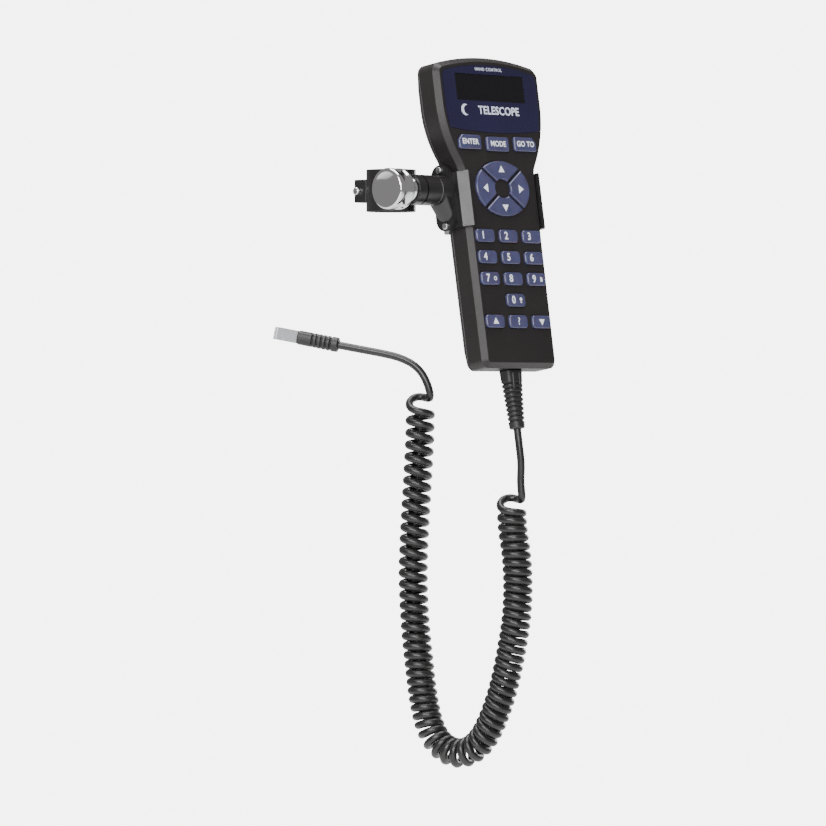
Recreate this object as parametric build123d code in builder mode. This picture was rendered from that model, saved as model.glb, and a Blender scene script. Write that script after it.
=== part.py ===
"""Telescope hand controller, resting in the holder that clamps to a handle bar.

The frame is in millimetres: the origin is on the handle bar's axis at the middle of the clamp,
+Z runs up the bar, +X points to the controller's right and -Y points towards the user.
"""

import os
from math import cos, hypot, pi, radians, sin, tan

from build123d import *

os.makedirs("parts", exist_ok=True)

# Handset, measured along its length, across its width and from its middle plane backwards
LENGTH = 166.3
TAIL_WIDTH = 57.2
GRIP_WIDTH = 58.6
THICKNESS = 22.8
WALL = 2.0
LEAN = 9.0  # degrees, the head leans away from the user
SHOULDER_START = 102.0  # where the narrow grip begins to widen towards the head
FLARE_TURN = 32.0
FLARE_RADIUS = 14.0
SHOULDER_RADIUS = 59.7
HEAD_CORNER = 161.3
HEAD_CORNER_RADIUS = 6.0
TAIL_CORNER_RADIUS = 4.5
FRONT_BEVEL = 2.7
REAR_BEVEL = 9.5
REAR_STRAIGHT = 1.9  # depth at which the back edge begins to slope in
BACK_EDGE_RADIUS = 2.0
FACE = -THICKNESS / 2
BACK = THICKNESS / 2
SEAM = 1.0
SEAM_CHAMFER = 0.3  # leaves a fine groove where the two shells meet
# Corner radii of inner outlines, at the head and at the tail
HOLLOW_CORNERS = (4.0, 2.5)
BACK_CORNERS = (4.0, 3.0)
SMALL_CORNERS = (3.0, 2.0)
HOLLOW_BEVEL = 1.0
BEYOND = 50.0  # how far cutting shapes reach past what they cut

# Face panel and display
PANEL_INSET = 4.4
PANEL_BOTTOM = 126.6
PANEL_SAG = 2.2
PANEL_CORNERS = (4.0, 2.0)
PANEL_RECESS = 0.8
PANEL_PROUD = 0.2
WINDOW_HEIGHT_UP = 149.5
WINDOW_SIZE = (53.5, 14.3)
DISPLAY_SIZE = (60.0, 19.6)
LCD_TOP = FACE + WALL + 0.15
LCD_LIP = 0.7

# Keys
KEY_PROUD = 1.2
KEY_CHAMFER = 0.4
KEY_GAP = 0.3
FLANGE_GROW = 0.7
FLANGE_TOP = FACE + WALL + 0.3
FLANGE_BOTTOM = FLANGE_TOP + 1.0
COLUMN_PITCH = 18.0
ROW_PITCH = 11.4
TOP_ROW = 70.0
NUMBER_KEY = (14.0, 6.8)
FUNCTION_KEY = (17.0, 7.6)
FUNCTION_PITCH = 21.5
FUNCTION_ROW = 119.3
FUNCTION_RISE = 0.6  # the outer two sit a little higher
FUNCTION_CUT = 2.8
FUNCTION_CORNER = 1.2
NUMBER_CORNER = 2.0
PAD_CENTRE = 95.5
PAD_SIZE = (41.0, 29.5)
PAD_CROSS = 1.8
PAD_HUB = (12.4, 10.2)
PAD_DOMES = (13.5, 9.8)

# Inside the handset
BOARD_FRONT = -5.4
BOARD_THICKNESS = 1.6
BOARD_BACK = BOARD_FRONT + BOARD_THICKNESS
MAT_FRONT = BOARD_FRONT - 1.0
DOME_TOP = -7.0
DOME_RADIUS = 2.4
BOARD_INSET = 4.2
BOARD_BOTTOM = 6.0
BOARD_TOP = 160.0
MAT_INSET = 5.0
MAT_BOTTOM = 17.5
MAT_TOP = 125.5
# Chips: place across and up the board, width, length and thickness
CHIPS = [(0, 92, 14, 14, 1.4), (0, 118, 10, 6, 1.6), (14, 60, 8, 5, 1.6)]
BEEPER_PLACE = (12, 40)
BEEPER_RADIUS = 6.0
BEEPER_THICKNESS = 5.0
BEEPER_HOLE = 1.2
LED_DEPTH = -2.6
LED_RADIUS = 1.5
LED_LENGTH = 5.5
LENS_SIZE = (8.6, 4.0)
LENS_CORNER = 1.6
LENS_THICKNESS = 2.9
JACK_DEPTH = -2.4
JACK_SIZE = (12.6, 8.0)
JACK_OPENING = (10.6, 7.6)
JACK_START = WALL + 0.3
JACK_LENGTH = 13.5
JACK_CUTOUT = (13.2, 21.0)  # cleared in the board
PLUG_SIZE = (9.7, 6.6)
PLUG_START = 1.0
BOSS_RADIUS = 3.0
CASE_SCREWS = [(-25, 132), (25, 132), (-16, 13), (16, 13)]
CASE_SCREW_RADIUS = 1.2
CASE_HEAD_RADIUS = 2.5
CASE_HEAD_SEAT = SEAM + 4
CASE_BITE = 5.5  # how far the screws reach into the front shell
BOARD_SCREWS = [(-9, 64.3), (9, 64.3), (-9, 30.1), (9, 30.1)]
BOARD_POST_RADIUS = 1.15
BOARD_SCREW_RADIUS = 0.6
BOARD_HEAD_RADIUS = 1.5
BOARD_BITE = 2.5

# Holder
BAR_RADIUS = 9.0
CLAMP_HEIGHT = 22.0
CLAMP_GAP = 0.5  # from the middle plane to each half, with the clamp closed
PAD_OUTER = 10.5
CLAMP_OUTER = 13.0
TILT_Y = -19.0
BARREL_RADIUS = 8.0
BOSS_END = 11.0
WASHER_END = 11.8
CRADLE_LEFT = 21.0
CRADLE_WALL = 2.35
CRADLE_GAP = 0.35
CRADLE_BOTTOM = 75.0
CRADLE_TOP = 104.6
CRADLE_EDGE = 0.6
LIP_REACH = 27.6
TAB_SIZE = (26.0, 9.0)
PLATE_START = CRADLE_LEFT - 2.5
HUB_PLATE = (12.8, 35.0)
HUB_PLATE_CENTRE = (0, -3.9)
HUB_PLATE_CORNER = 6.0
HUB_SCREWS = [(0, -18.8), (0, 10.9)]
HUB_SCREW_RADIUS = 1.2
HUB_HEAD = (1.8, 1.2)
# Gusset between barrel and plate: where it starts, its two ends and their corner radii
GUSSET_START = 13.5
GUSSET_SMALL = (15.0, 15.0, 7.2)
GUSSET_LARGE = (12.0, 24.4, 5.6)
GUSSET_DROP = -4.2
SWIVEL_START = 7.2
SWIVEL_RADIUS = 2.5
SWIVEL_HEAD = (4.2, 3.2)
HEX_SOCKET = (2.3, 1.7)
HEAD_POCKET = 16.5
HEAD_POCKET_RADIUS = 4.6
REAR_EAR = (9.0, 9.6, 12.0)
EAR_CORNER = 1.5
EAR_X = 6.0
INSERT_RADIUS = 4.3
INSERT_START = 0.7
INSERT_END = 6.6
STUD_RADIUS = 2.95
STUD_OUTER = -18.0
STUD_INNER = 6.0
CLIP_RADIUS = 4.7
CLIP_POCKET = (5.2, 2.2)
CLIP_PLACE = (-1.9, 0.8)
PIN_RADIUS = 2.0
PIN_Y = 15.6
PIN_START = -11.0
PIN_END = 8.0
KNOB_NECK = 6.5
KNOB_RADIUS = 10.75
KNOB_EDGE = 1.2
NECK_START = -6.2
HEAD_START = -12.6
HEAD_END = -24.0

HANDSET_X = CRADLE_LEFT + CRADLE_WALL + CRADLE_GAP + GRIP_WIDTH / 2

# Curly lead
CORD_RADIUS = 2.1
COIL_RADIUS = 8.1
BOOT_LENGTH = 31.0
BOOT_TOP = (12.6, 8.6)
BOOT_END = 9.4
BOOT_CORNER = 3.0
BOOT_SPIGOT = (9.0, 6.0)
BOOT_GAP = 0.2
FAR_BOOT_LENGTH = 22.0
FAR_BOOT_CORNER = 2.8
FAR_PLUG_LENGTH = 13.0
CONTACT_COUNT = 8
CONTACT_PITCH = 1.02
CONTACT_LENGTH = 4.4
CONTACT_SLOT = (0.5, 1.2, 5.0)

UP = Vector(0, sin(radians(LEAN)), cos(radians(LEAN)))
INWARD = Vector(0, cos(radians(LEAN)), -sin(radians(LEAN)))


def place(x, depth, height):
    """Point of the handset: x from its centre line, depth behind its middle, height from its tail."""
    return Vector(HANDSET_X + x, TILT_Y, 0) + INWARD * depth + UP * (height - PAD_CENTRE)


def face_plane(depth):
    """Plane parallel to the handset's face, seen by the user, with its origin at the tail."""
    return Plane(origin=place(0, depth, 0), x_dir=(1, 0, 0), z_dir=-INWARD)


def back_plane(depth):
    """Plane parallel to the handset's back, facing away from the user."""
    return Plane(origin=place(0, depth, 0), x_dir=(-1, 0, 0), z_dir=INWARD)


def cross_plane(height):
    """Plane across the handset, with x to the right and y into its depth."""
    return Plane(origin=place(0, 0, height), x_dir=(1, 0, 0), z_dir=UP)


def side_plane(x):
    """Upright plane across the tilt axis, with x into the depth and y up the handset."""
    return Plane(origin=(x, TILT_Y, 0), x_dir=INWARD, z_dir=(1, 0, 0))


DEPTH = Axis(place(0, 0, 0), INWARD)
HEIGHT = Axis(place(0, 0, 0), UP)


def save(piece, name):
    """Label a finished piece and write it as its own file."""
    piece.part.label = name
    export_step(piece.part, f"parts/{name}.step")


def handset_outline(inset=0.0, head_radius=HEAD_CORNER_RADIUS, tail_radius=TAIL_CORNER_RADIUS):
    """The handset's outline from the front, drawn inwards by an inset, on the sketch in use."""
    with BuildLine() as lines:
        side = Line((TAIL_WIDTH / 2, 0), (GRIP_WIDTH / 2, SHOULDER_START))
        flare = JernArc(side @ 1, side % 1, FLARE_RADIUS, -FLARE_TURN)
        shoulder = JernArc(flare @ 1, flare % 1, SHOULDER_RADIUS, FLARE_TURN)
        cheek = Line(shoulder @ 1, ((shoulder @ 1).X, HEAD_CORNER))
        mirror(about=Plane.YZ)
        corner = cheek @ 1
        ThreePointArc(corner, (0, LENGTH), (-corner.X, corner.Y))
        Line((-TAIL_WIDTH / 2, 0), (TAIL_WIDTH / 2, 0))
    make_face(lines.edges())
    if inset > 0:
        offset(amount=-inset, kind=Kind.INTERSECTION)
    corners = vertices().group_by(Axis.Y)
    fillet(corners[-1], head_radius)
    tails = vertices().group_by(Axis.Y)[0]
    fillet(tails, tail_radius)


def panel_outline(shrink=0.0):
    """The face panel: the head's outline drawn inwards, with a curved lower edge."""
    handset_outline(PANEL_INSET + shrink, *PANEL_CORNERS)
    lowest = PANEL_BOTTOM + shrink - PANEL_SAG + 1
    side_height = PANEL_BOTTOM + shrink + 3
    top = LENGTH + BEYOND
    with BuildLine() as band:
        low = ThreePointArc((-BEYOND, side_height), (0, lowest), (BEYOND, side_height))
        Line(low @ 1, (BEYOND, top))
        Line((BEYOND, top), (-BEYOND, top))
        Line((-BEYOND, top), low @ 0)
    make_face(band.edges(), mode=Mode.INTERSECT)


def number_key(x, height, grow=0.0):
    """Outline of one keypad key."""
    with Locations((x, height)):
        RectangleRounded(NUMBER_KEY[0] + 2 * grow, NUMBER_KEY[1] + 2 * grow, NUMBER_CORNER + grow)


def function_key(side, grow=0.0):
    """Outline of one of the three wide keys; the outer two have their outer top corner cut."""
    half_width = FUNCTION_KEY[0] / 2 + grow
    half_height = FUNCTION_KEY[1] / 2 + grow
    cut = FUNCTION_CUT
    centre = (side * FUNCTION_PITCH, FUNCTION_ROW + FUNCTION_RISE * abs(side))
    corners = [(-half_width, -half_height), (half_width, -half_height)]
    if side == 1:
        corners += [(half_width, half_height - cut), (half_width - cut, half_height)]
    else:
        corners += [(half_width, half_height)]
    if side == -1:
        corners += [(cut - half_width, half_height), (-half_width, half_height - cut)]
    else:
        corners += [(-half_width, half_height)]
    with Locations(centre):
        Polygon(*corners, align=None)
    chosen = [v for v in vertices() if abs(v.X - centre[0]) <= half_width + 0.1]
    fillet(chosen, FUNCTION_CORNER)


def arrow_key(across, along, grow=0.0):
    """Outline of one quarter of the oval arrow pad, pointing along (across, along)."""
    slope = PAD_SIZE[1] / PAD_SIZE[0]
    lean = hypot(1, slope)
    apex_y = (PAD_CROSS / 2 - grow) * lean
    far_y = apex_y + BEYOND * slope
    if along:
        wedge = [(0, apex_y), (BEYOND, far_y), (-BEYOND, far_y)]
        wedge = [(x, y * along) for x, y in wedge]
    else:
        apex_x = apex_y / slope
        far_x = apex_x + BEYOND
        wedge = [(apex_x, 0), (far_x, BEYOND * slope), (far_x, -BEYOND * slope)]
        wedge = [(x * across, y) for x, y in wedge]
    with Locations((0, PAD_CENTRE)):
        Ellipse(PAD_SIZE[0] / 2 + grow, PAD_SIZE[1] / 2 + grow)
        Polygon(*wedge, align=None, mode=Mode.INTERSECT)
        Ellipse(PAD_HUB[0] / 2 - grow, PAD_HUB[1] / 2 - grow, mode=Mode.SUBTRACT)


def keypad():
    """Every key: its name, the function that outlines it and the place of its dome."""
    keys = []
    rows = [("1", "2", "3"), ("4", "5", "6"), ("7", "8", "9"), ("", "0", "")]
    rows += [("scroll_up", "help", "scroll_down")]
    for row, names in enumerate(rows):
        for column, name in enumerate(names):
            if name:
                x = (column - 1) * COLUMN_PITCH
                y = TOP_ROW - row * ROW_PITCH
                keys.append((f"key_{name}", number_key, (x, y), (x, y)))
    for side, name in ((-1, "enter"), (0, "mode"), (1, "goto")):
        dome = (side * FUNCTION_PITCH, FUNCTION_ROW)
        keys.append((f"key_{name}", function_key, (side,), dome))
    for across, along, name in ((0, 1, "up"), (0, -1, "down"), (-1, 0, "left"), (1, 0, "right")):
        dome = (across * PAD_DOMES[0], PAD_CENTRE + along * PAD_DOMES[1])
        keys.append((f"key_{name}", arrow_key, (across, along), dome))
    return keys


KEYS = keypad()

# Keys, each with a hidden flange that keeps it in its opening
for key_name, outline, where, dome in KEYS:
    with BuildPart() as key:
        with BuildSketch(face_plane(FLANGE_TOP)):
            outline(*where)
        extrude(amount=FLANGE_TOP - FACE + KEY_PROUD)
        chamfer(key.faces().sort_by(DEPTH)[0].edges(), KEY_CHAMFER)
        with BuildSketch(face_plane(FLANGE_BOTTOM)):
            outline(*where, FLANGE_GROW)
        extrude(amount=FLANGE_BOTTOM - FLANGE_TOP)
    save(key, key_name)

# Hollow of the front shell
with BuildPart() as front_space:
    with BuildSketch(face_plane(SEAM)):
        handset_outline(WALL, *HOLLOW_CORNERS)
    extrude(amount=SEAM - FACE - WALL)
    chamfer(front_space.faces().sort_by(DEPTH)[0].edges(), HOLLOW_BEVEL)

# Front shell: bevelled face with openings for every key and the display
with BuildPart() as front_shell:
    with BuildSketch(face_plane(SEAM)):
        handset_outline()
    extrude(amount=SEAM - FACE)
    chamfer(front_shell.faces().sort_by(DEPTH)[0].edges(), FRONT_BEVEL)
    chamfer(front_shell.faces().sort_by(DEPTH)[-1].edges(), SEAM_CHAMFER)
    add(front_space.part, mode=Mode.SUBTRACT)
    with BuildSketch(face_plane(FACE + PANEL_RECESS)):
        panel_outline()
    extrude(amount=PANEL_RECESS, mode=Mode.SUBTRACT)
    with BuildSketch(face_plane(FACE + WALL)):
        with Locations((0, WINDOW_HEIGHT_UP)):
            Rectangle(*WINDOW_SIZE)
    extrude(amount=WALL, mode=Mode.SUBTRACT)
    for key_name, outline, where, dome in KEYS:
        with BuildSketch(face_plane(FACE + WALL)):
            outline(*where, KEY_GAP)
        extrude(amount=WALL, mode=Mode.SUBTRACT)
    with BuildSketch(face_plane(SEAM - 0.2)):
        with Locations(*CASE_SCREWS):
            Circle(BOSS_RADIUS)
    extrude(amount=SEAM - 0.2 - FACE - WALL)
    with BuildSketch(face_plane(SEAM - 0.2)):
        with Locations(*CASE_SCREWS):
            Circle(CASE_SCREW_RADIUS)
    extrude(amount=CASE_BITE + 2.5, mode=Mode.SUBTRACT)
    with BuildSketch(face_plane(BOARD_FRONT)):
        with Locations(*BOARD_SCREWS):
            Circle(BOARD_POST_RADIUS)
    extrude(amount=BOARD_FRONT - FACE - WALL)
    with BuildSketch(face_plane(BOARD_FRONT)):
        with Locations(*BOARD_SCREWS):
            Circle(BOARD_SCREW_RADIUS)
    extrude(amount=BOARD_BITE + 0.5, mode=Mode.SUBTRACT)
    # opening for the utility light's lens in the crown
    with BuildSketch(cross_plane(LENGTH - 3 * WALL)):
        with Locations((0, LED_DEPTH)):
            RectangleRounded(LENS_SIZE[0] + 0.2, LENS_SIZE[1] + 0.2, LENS_CORNER + 0.1)
    extrude(amount=4 * WALL, mode=Mode.SUBTRACT)
    # opening for the lead's plug in the tail wall
    with BuildSketch(cross_plane(0)):
        with Locations((0, JACK_DEPTH)):
            Rectangle(*JACK_OPENING)
    extrude(amount=WALL + 0.2, mode=Mode.SUBTRACT)
save(front_shell, "front_shell")

# Back shell: shallow tray whose back edge slopes in, with screw pillars
with BuildPart() as rear_space:
    with BuildSketch(back_plane(SEAM)):
        handset_outline(WALL, *HOLLOW_CORNERS)
    extrude(amount=REAR_STRAIGHT - SEAM)
    with BuildSketch(back_plane(REAR_STRAIGHT)):
        handset_outline(WALL, *HOLLOW_CORNERS)
    with BuildSketch(back_plane(BACK - WALL)):
        handset_outline(REAR_BEVEL, *SMALL_CORNERS)
    loft(ruled=True)

with BuildPart() as rear_shell:
    with BuildSketch(back_plane(SEAM)):
        handset_outline()
    extrude(amount=REAR_STRAIGHT - SEAM)
    chamfer(rear_shell.faces().sort_by(DEPTH)[0].edges(), SEAM_CHAMFER)
    with BuildSketch(back_plane(REAR_STRAIGHT)):
        handset_outline()
    with BuildSketch(back_plane(BACK)):
        handset_outline(REAR_BEVEL, *BACK_CORNERS)
    loft(ruled=True)
    fillet(rear_shell.faces().sort_by(DEPTH)[-1].edges(), BACK_EDGE_RADIUS)
    add(rear_space.part, mode=Mode.SUBTRACT)
    with BuildSketch(back_plane(SEAM)):
        with Locations(*CASE_SCREWS):
            Circle(BOSS_RADIUS + 0.6)
    extrude(amount=BACK - WALL / 2 - SEAM)
    with BuildSketch(back_plane(SEAM)):
        with Locations(*CASE_SCREWS):
            Circle(CASE_SCREW_RADIUS + 0.3)
    extrude(amount=THICKNESS, mode=Mode.SUBTRACT)
    with BuildSketch(back_plane(CASE_HEAD_SEAT)):
        with Locations(*CASE_SCREWS):
            Circle(CASE_HEAD_RADIUS + 0.2)
    extrude(amount=THICKNESS, mode=Mode.SUBTRACT)
    with BuildSketch(cross_plane(0)):
        with Locations((0, JACK_DEPTH)):
            Rectangle(*JACK_OPENING)
    extrude(amount=WALL + 0.2, mode=Mode.SUBTRACT)
save(rear_shell, "rear_shell")

# Glossy face panel with a hole for the display window
with BuildPart() as face_panel:
    with BuildSketch(face_plane(FACE + PANEL_RECESS)):
        panel_outline(0.1)
        with Locations((0, WINDOW_HEIGHT_UP)):
            Rectangle(*WINDOW_SIZE, mode=Mode.SUBTRACT)
    extrude(amount=PANEL_RECESS + PANEL_PROUD)
save(face_panel, "face_panel")

with BuildPart() as lcd_window:
    with BuildSketch(face_plane(FACE + WALL - 0.1)):
        with Locations((0, WINDOW_HEIGHT_UP)):
            Rectangle(WINDOW_SIZE[0] - 0.2, WINDOW_SIZE[1] - 0.2)
    extrude(amount=WALL - 0.3)
save(lcd_window, "lcd_window")

# Display: metal frame soldered to the board, with its glass held inside
with BuildPart() as lcd_frame:
    with BuildSketch(face_plane(BOARD_FRONT)):
        with Locations((0, WINDOW_HEIGHT_UP)):
            RectangleRounded(*DISPLAY_SIZE, 1.0)
    extrude(amount=BOARD_FRONT - LCD_TOP)
    with BuildSketch(face_plane(BOARD_FRONT)):
        with Locations((0, WINDOW_HEIGHT_UP)):
            Rectangle(*WINDOW_SIZE)
    extrude(amount=THICKNESS, mode=Mode.SUBTRACT)
    with BuildSketch(face_plane(BOARD_FRONT)):
        with Locations((0, WINDOW_HEIGHT_UP)):
            Rectangle(DISPLAY_SIZE[0] - 2, DISPLAY_SIZE[1] - 2)
    extrude(amount=BOARD_FRONT - LCD_TOP - LCD_LIP, mode=Mode.SUBTRACT)
save(lcd_frame, "lcd_frame")

with BuildPart() as lcd_glass:
    with BuildSketch(face_plane(BOARD_FRONT - 0.1)):
        with Locations((0, WINDOW_HEIGHT_UP)):
            Rectangle(DISPLAY_SIZE[0] - 2.2, DISPLAY_SIZE[1] - 2.2)
    extrude(amount=BOARD_FRONT - LCD_TOP - LCD_LIP - 0.2)
save(lcd_glass, "lcd_glass")

# Circuit board, cleared round the screw pillars
with BuildPart() as main_board:
    with BuildSketch(face_plane(BOARD_BACK)):
        handset_outline(BOARD_INSET, *SMALL_CORNERS)
        with Locations((0, (BOARD_BOTTOM + BOARD_TOP) / 2)):
            Rectangle(2 * BEYOND, BOARD_TOP - BOARD_BOTTOM, mode=Mode.INTERSECT)
        with Locations(*CASE_SCREWS):
            Circle(BOSS_RADIUS + 0.4, mode=Mode.SUBTRACT)
        with Locations(*BOARD_SCREWS):
            Circle(BOARD_SCREW_RADIUS + 0.2, mode=Mode.SUBTRACT)
        with Locations((0, BOARD_BOTTOM)):
            Rectangle(*JACK_CUTOUT, mode=Mode.SUBTRACT)
    extrude(amount=BOARD_THICKNESS)
save(main_board, "main_board")

with BuildPart() as keypad_mat:
    with BuildSketch(face_plane(BOARD_FRONT)):
        handset_outline(MAT_INSET, *SMALL_CORNERS)
        with Locations((0, (MAT_BOTTOM + MAT_TOP) / 2)):
            Rectangle(2 * BEYOND, MAT_TOP - MAT_BOTTOM, mode=Mode.INTERSECT)
        with Locations(*BOARD_SCREWS):
            Circle(BOARD_POST_RADIUS + 0.45, mode=Mode.SUBTRACT)
    extrude(amount=BOARD_FRONT - MAT_FRONT)
    with BuildSketch(face_plane(MAT_FRONT)):
        with Locations(*[dome for key_name, outline, where, dome in KEYS]):
            Circle(DOME_RADIUS)
    extrude(amount=MAT_FRONT - DOME_TOP)
save(keypad_mat, "keypad_mat")

# Chips on the back of the board: processor, memory and driver, as one group of solids
with BuildPart() as board_chips:
    for x, height, width, length, thickness in CHIPS:
        with BuildSketch(back_plane(BOARD_BACK)):
            with Locations((-x, height)):
                Rectangle(width, length)
        extrude(amount=thickness)
save(board_chips, "board_chips")

with BuildPart() as beeper:
    with BuildSketch(back_plane(BOARD_BACK)):
        with Locations(BEEPER_PLACE):
            Circle(BEEPER_RADIUS)
    extrude(amount=BEEPER_THICKNESS)
    with BuildSketch(back_plane(BOARD_BACK + BEEPER_THICKNESS - 1)):
        with Locations(BEEPER_PLACE):
            Circle(BEEPER_HOLE)
    extrude(amount=1, mode=Mode.SUBTRACT)
save(beeper, "beeper")

# Utility light: diode on the board behind a lens in the crown
with BuildPart() as led_lens:
    with BuildSketch(cross_plane(LENGTH - LENS_THICKNESS)):
        with Locations((0, LED_DEPTH)):
            RectangleRounded(*LENS_SIZE, LENS_CORNER)
    extrude(amount=LENS_THICKNESS)
save(led_lens, "led_lens")

with BuildPart() as red_led:
    with BuildSketch(cross_plane(BOARD_TOP - 3)):
        with Locations((0, BOARD_BACK + LED_RADIUS + 0.1)):
            Circle(LED_RADIUS)
    extrude(amount=LED_LENGTH)
    fillet(red_led.faces().sort_by(HEIGHT)[-1].edges(), LED_RADIUS - 0.3)
save(red_led, "red_led")

# Modular socket behind the opening in the tail
with BuildPart() as cord_jack:
    with BuildSketch(cross_plane(JACK_START)):
        with Locations((0, JACK_DEPTH)):
            Rectangle(*JACK_SIZE)
    extrude(amount=JACK_LENGTH)
    with BuildSketch(cross_plane(JACK_START)):
        with Locations((0, JACK_DEPTH)):
            Rectangle(PLUG_SIZE[0] + 0.1, PLUG_SIZE[1] + 0.1)
    extrude(amount=JACK_LENGTH - 1.5, mode=Mode.SUBTRACT)
save(cord_jack, "cord_jack")

with BuildPart() as cord_plug:
    with BuildSketch(cross_plane(PLUG_START)):
        with Locations((0, JACK_DEPTH)):
            Rectangle(*PLUG_SIZE)
    extrude(amount=JACK_START + JACK_LENGTH - 1.8 - PLUG_START)
save(cord_plug, "cord_plug")

# Self-tapping screws, one group for the case and one for the board
with BuildPart() as case_screws:
    with BuildSketch(back_plane(SEAM - CASE_BITE)):
        with Locations(*[(-x, height) for x, height in CASE_SCREWS]):
            Circle(CASE_SCREW_RADIUS)
    extrude(amount=CASE_HEAD_SEAT - SEAM + CASE_BITE)
    with BuildSketch(back_plane(CASE_HEAD_SEAT)):
        with Locations(*[(-x, height) for x, height in CASE_SCREWS]):
            Circle(CASE_HEAD_RADIUS)
    extrude(amount=1.8)
    chamfer(case_screws.faces().group_by(DEPTH)[-1].edges(), 0.4)
save(case_screws, "case_screws")

with BuildPart() as board_screws:
    with BuildSketch(back_plane(BOARD_FRONT - BOARD_BITE)):
        with Locations(*[(-x, height) for x, height in BOARD_SCREWS]):
            Circle(BOARD_SCREW_RADIUS)
    extrude(amount=BOARD_BITE + BOARD_THICKNESS)
    with BuildSketch(back_plane(BOARD_BACK)):
        with Locations(*[(-x, height) for x, height in BOARD_SCREWS]):
            Circle(BOARD_HEAD_RADIUS)
    extrude(amount=1.0)
save(board_screws, "board_screws")

# Strain relief boot on the tail
with BuildPart() as cord_boot:
    with BuildSketch(cross_plane(-BOOT_GAP)):
        with Locations((0, JACK_DEPTH)):
            RectangleRounded(*BOOT_TOP, BOOT_CORNER)
    with BuildSketch(cross_plane(-BOOT_LENGTH)):
        with Locations((0, JACK_DEPTH)):
            RectangleRounded(BOOT_END, BOOT_END, BOOT_CORNER)
    loft(ruled=True)
    with BuildSketch(cross_plane(-BOOT_GAP)):
        with Locations((0, JACK_DEPTH)):
            RectangleRounded(*BOOT_SPIGOT, 2.0)
    extrude(amount=PLUG_START + BOOT_GAP)
save(cord_boot, "cord_boot")


def corner_radii(route):
    """Largest arcs that the runs of a route leave room for, one at each inner point."""
    radii = []
    for before, point, after in zip(route, route[1:], route[2:]):
        arriving = Vector(*point) - Vector(*before)
        leaving = Vector(*after) - Vector(*point)
        turn = radians(arriving.get_angle(leaving))
        radii.append(0.45 * min(arriving.length, leaving.length) / tan(turn / 2))
    return radii


def tube(route, radius, name):
    """Solid of round section along straight runs joined by arcs, written as its own piece."""
    radii = corner_radii(route)
    with BuildPart() as piece:
        with BuildLine() as path:
            FilletPolyline(*route, radius=radii)
        with BuildSketch(Plane(origin=path.line @ 0, z_dir=path.line % 0)):
            Circle(radius)
        sweep(path=path.line)
    length = sum(edge.length for edge in path.edges())
    expected = pi * radius**2 * length
    print(name, "length", round(length, 1), "radii", [round(r, 1) for r in radii])
    print(name, "volume over section times length", round(piece.part.volume / expected, 4))
    save(piece, name)


# Curly lead: straight end, coiled stretch hanging in a loop, straight end up to the far plug
boot_tip = place(0, JACK_DEPTH, -BOOT_LENGTH)
lead_turn = boot_tip - UP * 9
LEAD_ROUTE = [
    (boot_tip.X, boot_tip.Y, boot_tip.Z),
    (lead_turn.X, lead_turn.Y, lead_turn.Z),
    (54.0, -43.3, -143.5),
    (54.6, -41.9, -153.0),
    (54.6, -41.9, -162.5),
]
COIL_ROUTE = [
    (52.2, -37.8, -162.5),
    (52.2, -37.8, -175.0),
    (54.8, -39.8, -194.0),
    (55.5, -39.5, -220.0),
    (54.6, -34.5, -247.0),
    (53.5, -27.8, -270.8),
    (52.0, -16.5, -292.0),
    (51.0, -0.5, -298.5),
    (50.0, 14.9, -291.5),
    (49.0, 21.6, -275.0),
    (48.4, 25.0, -252.0),
    (47.2, 27.5, -226.0),
    (46.4, 28.0, -200.0),
    (46.9, 26.8, -174.0),
    (47.8, 25.4, -147.0),
    (48.7, 24.6, -124.0),
    (48.7, 24.6, -109.5),
]
TAIL_ROUTE = [
    (51.4, 22.0, -109.5),
    (51.4, 22.0, -100.0),
    (50.2, 27.5, -92.0),
    (46.4, 36.0, -87.0),
    (41.0, 45.0, -84.5),
    (35.0, 54.5, -82.5),
    (28.1, 65.5, -80.0),
]
tube(LEAD_ROUTE, CORD_RADIUS, "cord_lead")
tube(COIL_ROUTE, COIL_RADIUS, "cord_coil")
tube(TAIL_ROUTE, CORD_RADIUS, "cord_tail")

# Far end of the lead: a second boot and modular plug
far_start = Vector(*TAIL_ROUTE[-1])
far_way = (far_start - Vector(*TAIL_ROUTE[-2])).normalized()
far_across = Vector(0, 0, 1).cross(far_way).normalized() * -1
def far_plane(along):
    """Plane across the far plug, at a distance along it from the end of the lead."""
    return Plane(origin=far_start + far_way * along, x_dir=far_across, z_dir=far_way)


with BuildPart() as far_boot:
    with BuildSketch(far_plane(0)):
        RectangleRounded(BOOT_END - 1, BOOT_END - 1, FAR_BOOT_CORNER)
    with BuildSketch(far_plane(FAR_BOOT_LENGTH)):
        RectangleRounded(BOOT_TOP[0], BOOT_TOP[1] - 1, FAR_BOOT_CORNER)
    loft(ruled=True)
save(far_boot, "far_boot")

with BuildPart() as far_plug:
    with BuildSketch(far_plane(FAR_BOOT_LENGTH)):
        Rectangle(*PLUG_SIZE)
    extrude(amount=FAR_PLUG_LENGTH)
    chamfer(far_plug.faces().sort_by(Axis(far_start, far_way))[-1].edges(), 0.4)
    with BuildSketch(far_plane(FAR_BOOT_LENGTH + FAR_PLUG_LENGTH - CONTACT_SLOT[2])):
        with Locations((0, PLUG_SIZE[1] / 2)):
            with GridLocations(CONTACT_PITCH, 1, CONTACT_COUNT, 1):
                Rectangle(CONTACT_SLOT[0], CONTACT_SLOT[1])
    extrude(amount=CONTACT_SLOT[2], mode=Mode.SUBTRACT)
save(far_plug, "far_plug")

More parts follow.
